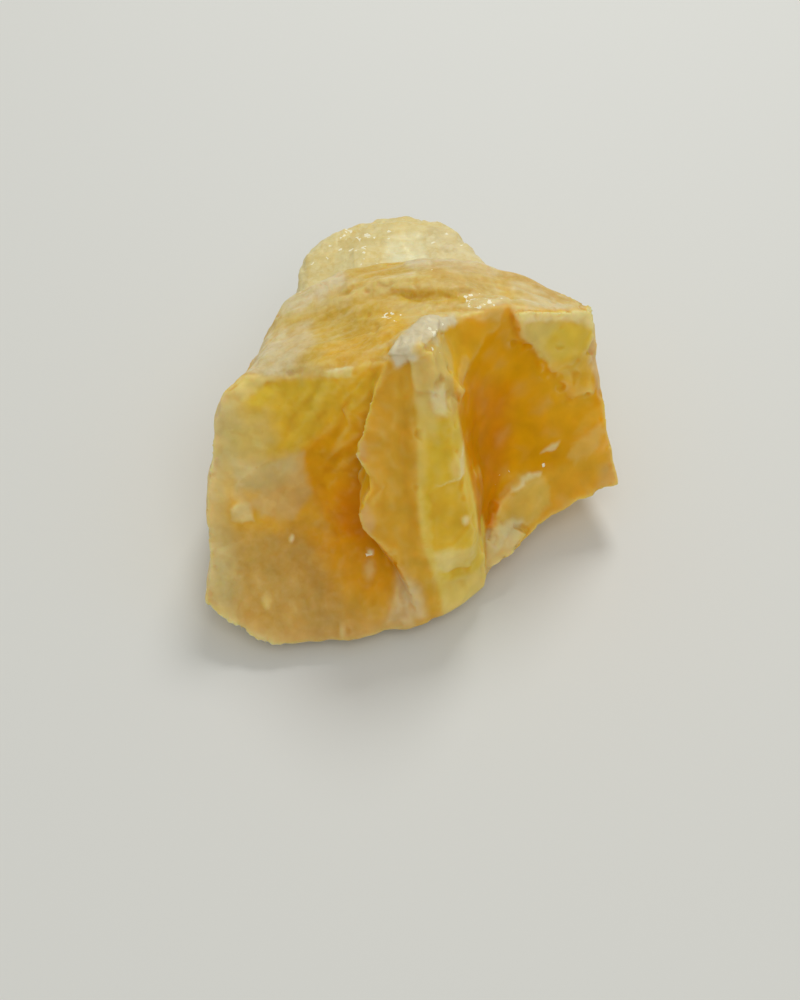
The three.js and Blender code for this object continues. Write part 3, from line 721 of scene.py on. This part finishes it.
def lobe_relief(points):
    """Sugary, all small crystal faces."""
    return chipped(points, 4.2, 71) * 0.5 + chipped(points, 1.7, 73) * 0.22


def rest_relief(points, ridge):
    """The hidden sides: ledges along the stone's own cleavage, none on the ridges."""
    ledges = chipped(points, 6.5, 81) + chipped(points, 3.1, 83) * 0.25
    return (ledges + fractal(points, 3, 3, 85) * 0.12) * smooth(ridge, 0.2, 3)


def crust_relief(points):
    """A thin raised crust of lumps and grains."""
    lumps = 0.15 + chipped(points, 1.2, 95) * 0.4 + noise(points, 0.9, 97) * 0.12
    return crust_of(points) * lumps


def carve(surface, ridge):
    """Gives every face the relief of its kind of break."""
    share = name_faces(surface)
    points = surface.points
    x, _, z = points.T

    # The wedge and the pillar have upright splinters on broad swells.
    splinters = splinter_swells(points)
    broad = fractal(points, 4, 2, 33)
    reliefs = {
        "bowl": bowl_relief(points),
        "wedge": splinters * 0.1 + broad * 0.15,
        "pillar": splinters * 0.06 + broad * 0.14,
        "right": right_relief(points),
        "top": top_relief(points),
        "lobe": lobe_relief(points),
        "rest": rest_relief(points, ridge),
    }
    height = sum(share[face] * relief for face, relief in reliefs.items())
    shaken = ragged(points)
    for patch in PATCHES:
        if patch.lift:
            height += cover_of(patch, shaken, share, LIFT_SOFT) * patch.lift
    height += crust_relief(points)

    # Ridges stay thin and get small chips.
    near_ridge = 1 - smooth(ridge, 0.1, 1.2)
    height *= 1 - 0.6 * near_ridge
    chips = smooth(noise(points, 1.6, 91), 0.1, 0.6) * near_ridge
    near_wedge_edge = 1 - smooth(np.abs(x - along(WEDGE_EDGE, z)), 0.6, 2.6)
    surface.push(height - chips * CHIP_DEPTH)
    surface.points[:, 0] -= along(WEDGE_SCALLOPS, z) * near_wedge_edge * (1 - share["top"])


# ---- tint ------------------------------------------------

class Paint:
    """The stone's tint at each point, laid on in coats, one over the other."""

    def __init__(self, surface, ridge):
        self.surface = surface
        self.points = surface.points
        self.ridge = ridge
        self.share = name_faces(surface)
        self.cloud = fractal(self.points, 6, 3, 110)
        self.fine = fractal(self.points, 1.8, 3, 114)
        broad, self.thin = layer_swells(self.points)
        threads = noise(turned(self.points, *LAYERS), 1.1, 122)
        self.bands = broad + 0.6 * threads + 0.4 * self.fine
        x, _, z = self.points.T
        self.low_bowl = self.share["bowl"] * smooth(16 - z, 0, 6) * smooth(-7 - x, 0, 5)
        self.colour = sum(np.outer(self.share[face], tint) for face, tint in FACE_TINTS.items())

    def coat(self, tint, much):
        """Covers each point with the tint, as far as `much` says there."""
        much = np.clip(much, 0, 1)[:, None]
        self.colour = self.colour * (1 - much) + np.array(tint) * much

    def hidden_sides(self):
        """Clouds of deeper, yellower and paler stone."""
        rest = self.share["rest"]
        self.coat(HAY, rest * 0.4)
        self.coat(AMBER, rest * smooth(self.cloud, -0.2, 0.9) * 0.6)
        self.coat(TAN, rest * smooth(-self.cloud, -0.1, 0.9) * 0.6)
        self.coat(LEMON, rest * smooth(fractal(self.points, 9, 2, 118), -0.1, 0.8) * 0.5)
        self.coat(CREAM, rest * blob(self.points, BACK_CENTRE, BACK_REACH) * 0.8)

    def under_patches(self):
        """Sandy and brassy beds on the top, and clouds low in the bowl."""
        self.coat(SAND, self.share["top"] * smooth(self.bands, 0, 0.9) * 0.7)
        self.coat(BRASS, self.share["top"] * smooth(-self.bands, 0, 1) * 0.6)
        clouds = fractal(self.points, 2.8, 3, 124)
        self.coat(VEIL, self.low_bowl * smooth(clouds, 0.1, 0.8) * 0.5)
        self.coat(AMBER, self.low_bowl * smooth(-clouds, 0.1, 0.8) * 0.4)

    def edges(self):
        """The left edge of the wedge, and both edges of the pillar, which are painted pale as
        painted light through thin stone.
        """
        x, _, z = self.points.T
        at_wedge = 1 - smooth(x - wedge_edge(z), 0, 1.6 + self.fine)
        at_valley = 1 - smooth(x - along(VALLEY, z), 0.3, 1.4 + 0.9 * self.fine)
        at_right = 1 - smooth(along(PILLAR_EDGE, z) - x, 0.3, 1.0 + 0.4 * self.fine)
        self.coat(HONEY, self.share["wedge"] * at_wedge * 0.5)
        # Painted light: the pillar's thin edges painted paler.
        self.coat(STRAW, self.share["pillar"] * np.maximum(at_valley * 0.4, at_right * 0.2))

    def patches(self):
        """The patches, each over the ones before it."""
        shaken = ragged(self.points)
        for patch in PATCHES:
            self.coat(patch.tint, cover_of(patch, shaken, self.share, patch.soft) * patch.much)

    def layers(self):
        """Soft bands and thin layers on the top, over its patches too, paler to the back."""
        top = self.share["top"]
        paler = 0.15 + 0.4 * smooth(self.points[:, 1], -6, 2)
        self.coat(CRUST, top * smooth(self.bands, 0.3, 1.2) * paler)
        self.coat(BRASS, top * smooth(-self.bands, 0.2, 1.1) * 0.75)
        self.coat(TAN, top * smooth(-self.thin, 0.1, 0.8) * 0.15)
        self.coat(CRUST, top * smooth(self.thin, 0.2, 0.9) * 0.3)

    def streaks(self):
        """Threads along the bowl's ribs and along the splinters of the wedge and the pillar."""
        ribs = rib_swells(self.points)
        ribbed = self.share["bowl"] * blob(self.points, RIBS_CENTRE, RIBS_REACH)
        self.coat(DEEP, ribbed * smooth(-ribs, 0, 0.8) * 0.18)
        self.coat(LEMON, ribbed * smooth(ribs, 0, 0.8) * 0.4)
        splinters = splinter_swells(self.points)
        upright = self.share["wedge"] + self.share["pillar"]
        self.coat(STRAW, upright * smooth(splinters, 0.1, 0.9) * 0.1)
        self.coat(AMBER, upright * smooth(-splinters, 0.1, 0.9) * 0.14)

    def painted_light_and_shade(self):
        """Painted light and shade: thin raised stone and the bowl's left rim are painted pale, as
        light shines through them, and hollows are painted deeper as painted shade.
        """
        share = self.share
        bend = self.surface.bend()
        raised = np.clip(bend, 0, 1)
        hollow = np.clip(-bend, 0, 1)
        front = 1 - share["lobe"] - share["top"] - share["wedge"] * 0.8
        front *= 1 - 0.7 * blob(self.points, HEAD_CENTRE, HEAD_REACH)
        # Painted light: raised stone painted paler, as light shines through thin stone.
        self.coat(PAINTED_EDGE_LIGHT, raised * (0.3 - 0.12 * (share["bowl"] + share["pillar"])) * front)
        self.coat(SAND, raised * 0.3 * (1 - front))
        # Painted shade: hollows painted deeper.
        self.coat(AMBER, hollow * 0.2 * (1 - share["lobe"]))
        left = smooth(-10 - self.points[:, 0], 0, 4)
        # Painted light along the bowl's thin left rim.
        self.coat(PAINTED_EDGE_LIGHT, (1 - smooth(self.ridge, 0.2, 1.3)) * share["bowl"] * left * 0.5)

    def foot(self):
        """Darker and greyer just above the floor."""
        self.coat(FOOT, (1 - smooth(self.points[:, 2], 0.8, 4.5)) * 0.75)

    def shades(self):
        """Faint clouds, and blocks between cleavage planes, fainter on the smooth faces."""
        self.colour *= (1 + 0.07 * self.cloud + 0.07 * self.fine)[:, None]
        block = blocks(self.points, 4.5, 130) + 0.8 * blocks(self.points, 1.9, 134)
        block *= 1 - 0.65 * (self.share["right"] + self.share["wedge"] + self.share["pillar"])
        self.colour += self.colour * np.outer(block, BLOCK_SPREAD)

    def crust(self):
        """The crust on the peak, over all else."""
        self.coat(CRUST, crust_of(self.points))

    def sugary(self):
        """How sugary the stone is at each point."""
        share = self.share
        return np.clip(share["lobe"] + crust_of(self.points) + share["top"] * 0.3, 0, 1)

    def grainy(self):
        """How grainy the stone is at each point."""
        share = self.share
        grainy = share["top"] + share["lobe"] * 0.7 + share["rest"] * 0.7 + self.low_bowl * 0.4
        return np.clip(grainy, 0, 1)

    def painted_glints(self):
        """How thickly painted glints, spots painted bright as highlights of crystal faces, lie at
        each point.
        """
        placed = np.clip(sum(blob(self.points, centre, radii) * much
                             for centre, radii, much in PAINTED_GLINT_SPOTS), 0, 1)
        strewn = self.share["lobe"] * 0.25 + self.share["top"] * 0.12
        return np.maximum(placed, strewn) * smooth(self.fine, -0.4, 0.3)


def painted(surface, ridge):
    """The stone with all its coats."""
    paint = Paint(surface, ridge)
    paint.hidden_sides()
    paint.under_patches()
    paint.edges()
    paint.patches()
    paint.layers()
    paint.streaks()
    paint.painted_light_and_shade()
    paint.foot()
    paint.shades()
    paint.crust()
    return paint


# ---- building the piece ----------------------------------

def build_stone():
    """The lump: smoothed between its edges, carved, thinned out and painted."""
    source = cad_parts["calcite"]
    edges, ridges = sharp_points(source.data)
    surface = Surface(source)
    surface.relax(SMOOTH_ROUNDS, softened(surface, edges))
    surface.relax(TOP_ROUNDS, name_faces(surface)["top"])
    mend_floor(surface)
    carve(surface, distance_to(ridges, surface.points))
    surface.thin_out()
    paint = painted(surface, distance_to(ridges, surface.points))
    tint = np.column_stack([np.clip(paint.colour, 0, 1), np.ones(len(surface.points))])
    surface.keep("tint", tint, "FLOAT_COLOR", "color")
    surface.keep("sugar", paint.sugary())
    surface.keep("grainy", paint.grainy())
    # Where the painted glints, painted highlights, lie thickly.
    surface.keep("painted_glint", paint.painted_glints())
    draw_in_foot(surface)
    surface.write()
    surface.mesh.polygons.foreach_set("use_smooth", np.ones(len(surface.mesh.polygons), bool))
    return surface.lump


# ---- the stone's finish ----------------------------------

# Sizes across, in mm, of what is too fine for the mesh.
THREAD_SIZE = 1.6
GRAIN_SIZE = 0.9
CRYSTAL_SIZE = 0.6
# The painted glints are picked from cells this size.
PAINTED_GLINT_SIZE = 0.5
PIT_SIZE = 0.7
# Tints of threads and of grains that are paler or deeper than the stone.
THREAD = (0.97, 0.88, 0.7, 1)
PALE_GRAIN = (0.86, 0.70, 0.32, 1)
DEEP_GRAIN = (0.86, 0.72, 0.42, 1)


class Nodes:
    """Short ways to add shader nodes."""

    def __init__(self, name):
        self.material = bpy.data.materials.new(name)
        self.material.use_nodes = True
        self.tree = self.material.node_tree
        self.shader = self.tree.nodes["Principled BSDF"]

    def add(self, kind, inputs=None, **settings):
        node = self.tree.nodes.new(kind)
        for key, value in settings.items():
            setattr(node, key, value)
        for key, value in (inputs or {}).items():
            self.put(value, node.inputs[key])
        return node

    def put(self, value, socket):
        if isinstance(value, bpy.types.NodeSocket):
            self.tree.links.new(value, socket)
        else:
            socket.default_value = value

    def kept(self, name, output="Fac"):
        """What is kept on the mesh under this name."""
        return self.add("ShaderNodeAttribute", attribute_name=name).outputs[output]

    def number(self, operation, *inputs, clamp=False):
        node = self.add("ShaderNodeMath", operation=operation, use_clamp=clamp)
        for socket, value in zip(node.inputs, inputs):
            self.put(value, socket)
        return node.outputs["Value"]

    def blend(self, share, first, second, way="MIX"):
        node = self.add("ShaderNodeMix", {0: share, 6: first, 7: second}, data_type="RGBA",
                        blend_type=way)
        return node.outputs[2]

    def texture(self, kind, size, **inputs):
        """A texture whose swells or cells are about `size` mm across."""
        place = self.add("ShaderNodeTexCoord").outputs["Object"]
        return self.add(kind, {"Scale": 1 / (size * MM), "Vector": place, **inputs})

    def noise(self, size, detail):
        """Noise from 0 to 1."""
        return self.texture("ShaderNodeTexNoise", size, Detail=detail).outputs["Fac"]

    def crystals(self, size):
        """Cells, each with a brightness of its own from 0 to 1."""
        return self.texture("ShaderNodeTexVoronoi", size).outputs["Color"]


def mottled(nodes, colour, grainy):
    """Fine threads all over, and paler and deeper grains where the stone is grainy."""
    threads = nodes.number("SUBTRACT", nodes.noise(THREAD_SIZE, 4), 0.5)
    threads = nodes.number("MULTIPLY", threads, 1.4, clamp=True)
    colour = nodes.blend(threads, colour, THREAD, "MULTIPLY")
    grains = nodes.number("SUBTRACT", nodes.noise(GRAIN_SIZE, 5), 0.5)
    for gain, tint, way in ((1.0, PALE_GRAIN, "MIX"), (-1.6, DEEP_GRAIN, "MULTIPLY")):
        much = nodes.number("MULTIPLY", nodes.number("MULTIPLY", grains, gain, clamp=True), grainy)
        colour = nodes.blend(much, colour, tint, way)
    return colour


def crystals_and_painted_glints(nodes, colour, sugar, cells, painted_glint_mask):
    """Pale grains where the stone is sugary, and painted glints: bright spots painted as highlights
    of crystal faces.
    """
    grain = nodes.number("MULTIPLY", nodes.number("GREATER_THAN", cells, 0.66), sugar)
    colour = nodes.blend(nodes.number("MULTIPLY", grain, 0.2), colour, (*SUGAR_AND_GLINT_WHITE, 1))
    # Painted highlights: glint cells painted near white.
    return nodes.blend(painted_glint_mask, colour, (*PAINTED_GLINT, 1))


def fine_grain(nodes, sugar, grainy, cells):
    """Pits and crystals as a bump, as the mesh is too coarse for them."""
    pits = nodes.add("ShaderNodeBump", {
        "Distance": 0.25 * MM, "Strength": nodes.number("MULTIPLY_ADD", grainy, 0.5, 0.1),
        "Height": nodes.noise(PIT_SIZE, 4)})
    crystals = nodes.add("ShaderNodeBump", {
        "Distance": 0.16 * MM, "Strength": nodes.number("MULTIPLY_ADD", sugar, 0.5, 0.03),
        "Height": cells, "Normal": pits.outputs["Normal"]})
    return crystals.outputs["Normal"]


def calcite():
    """Clear golden stone that light gets into, except where it is sugary or carries a painted glint.
    """
    nodes = Nodes("calcite")
    shader = nodes.shader
    sugar = nodes.kept("sugar")
    grainy = nodes.kept("grainy")
    cells = nodes.crystals(CRYSTAL_SIZE)
    # Cells painted as glints, painted highlights that light does not get into.
    painted_glint_mask = nodes.number("GREATER_THAN", nodes.crystals(PAINTED_GLINT_SIZE),
                          nodes.number("MULTIPLY_ADD", nodes.kept("painted_glint"), -0.35, 1.0))
    colour = mottled(nodes, nodes.kept("tint", "Color"), grainy)
    nodes.put(crystals_and_painted_glints(nodes, colour, sugar, cells, painted_glint_mask), shader.inputs["Base Color"])

    shader.inputs["Roughness"].default_value = 0.35
    shader.inputs["Specular IOR Level"].default_value = 0.1
    shader.inputs["Specular Tint"].default_value = (1, 0.75, 0.3, 1)
    shader.inputs["Coat Weight"].default_value = 0.06
    shader.inputs["Coat Roughness"].default_value = 0.12
    clear = nodes.number("MULTIPLY_ADD", sugar, -0.85, 1.0)
    clear = nodes.number("MULTIPLY", clear, nodes.number("SUBTRACT", 1.0, painted_glint_mask))
    nodes.put(clear, shader.inputs["Subsurface Weight"])
    shader.inputs["Subsurface Radius"].default_value = (1.0, 0.62, 0.3)
    shader.inputs["Subsurface Scale"].default_value = 2.4 * MM
    nodes.put(fine_grain(nodes, sugar, grainy, cells), shader.inputs["Normal"])
    return nodes.material


stone = build_stone()
stone.data.materials.clear()
stone.data.materials.append(calcite())
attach(stone, "root")
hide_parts("calcite")

# ---- floor, light, camera --------------------------------

FLOOR = 12                 # its side, in metres
FLOOR_TINT = (0.775, 0.785, 0.75, 1)
SKY = 0.4
SKY_TINT = (1, 0.98, 0.93, 1)
# Each lamp's name, its place and size in metres, and its power in watts.
LAMPS = [("window", (0.08, 0.38, 0.46), 0.2, 1.28), ("fill", (0.07, -0.36, 0.57), 0.5, 0.98)]
AIM = Vector((-2.4, -4.8, 0)) * MM
CAMERA_RISE = math.radians(50)
CAMERA_AWAY = 202 * MM
CAMERA_NEAREST = 10 * MM   # nothing closer than this is shown
LENS = 50                  # focal length in mm

scene = bpy.context.scene


def paper():
    """The floor's finish: matt, and nearly white."""
    material = bpy.data.materials.new("paper")
    material.use_nodes = True
    shader = material.node_tree.nodes["Principled BSDF"]
    shader.inputs["Base Color"].default_value = FLOOR_TINT
    shader.inputs["Roughness"].default_value = 0.6
    shader.inputs["Specular IOR Level"].default_value = 0.2
    return material


def lay_floor():
    bpy.ops.mesh.primitive_plane_add(size=FLOOR)
    floor = bpy.context.object
    floor.name = "floor"
    floor.data.materials.append(paper())


def light_room():
    """Even light from all round, which the lamps add to."""
    world = bpy.data.worlds.new("room")
    world.use_nodes = True
    background = world.node_tree.nodes["Background"]
    background.inputs["Color"].default_value = SKY_TINT
    background.inputs["Strength"].default_value = SKY
    scene.world = world


def soft_lamp(name, place, size, power):
    """A round lamp that shines on the middle of the floor."""
    light = bpy.data.lights.new(name, "AREA")
    light.shape = "DISK"
    light.size = size
    light.energy = power
    lamp = bpy.data.objects.new(name, light)
    lamp.location = place
    lamp.rotation_euler = (-Vector(place)).to_track_quat("-Z", "Y").to_euler()
    scene.collection.objects.link(lamp)


def place_camera():
    """The camera in front of the stone, looking down at it."""
    camera = bpy.data.objects.new("camera", bpy.data.cameras.new("camera"))
    camera.data.lens = LENS
    camera.data.clip_start = CAMERA_NEAREST
    back = Vector((0, -math.cos(CAMERA_RISE), math.sin(CAMERA_RISE)))
    camera.location = AIM + back * CAMERA_AWAY
    camera.rotation_euler = back.to_track_quat("Z", "Y").to_euler()
    scene.collection.objects.link(camera)
    scene.camera = camera


lay_floor()
light_room()
for lamp in LAMPS:
    soft_lamp(*lamp)
place_camera()
scene.view_settings.view_transform = "Standard"
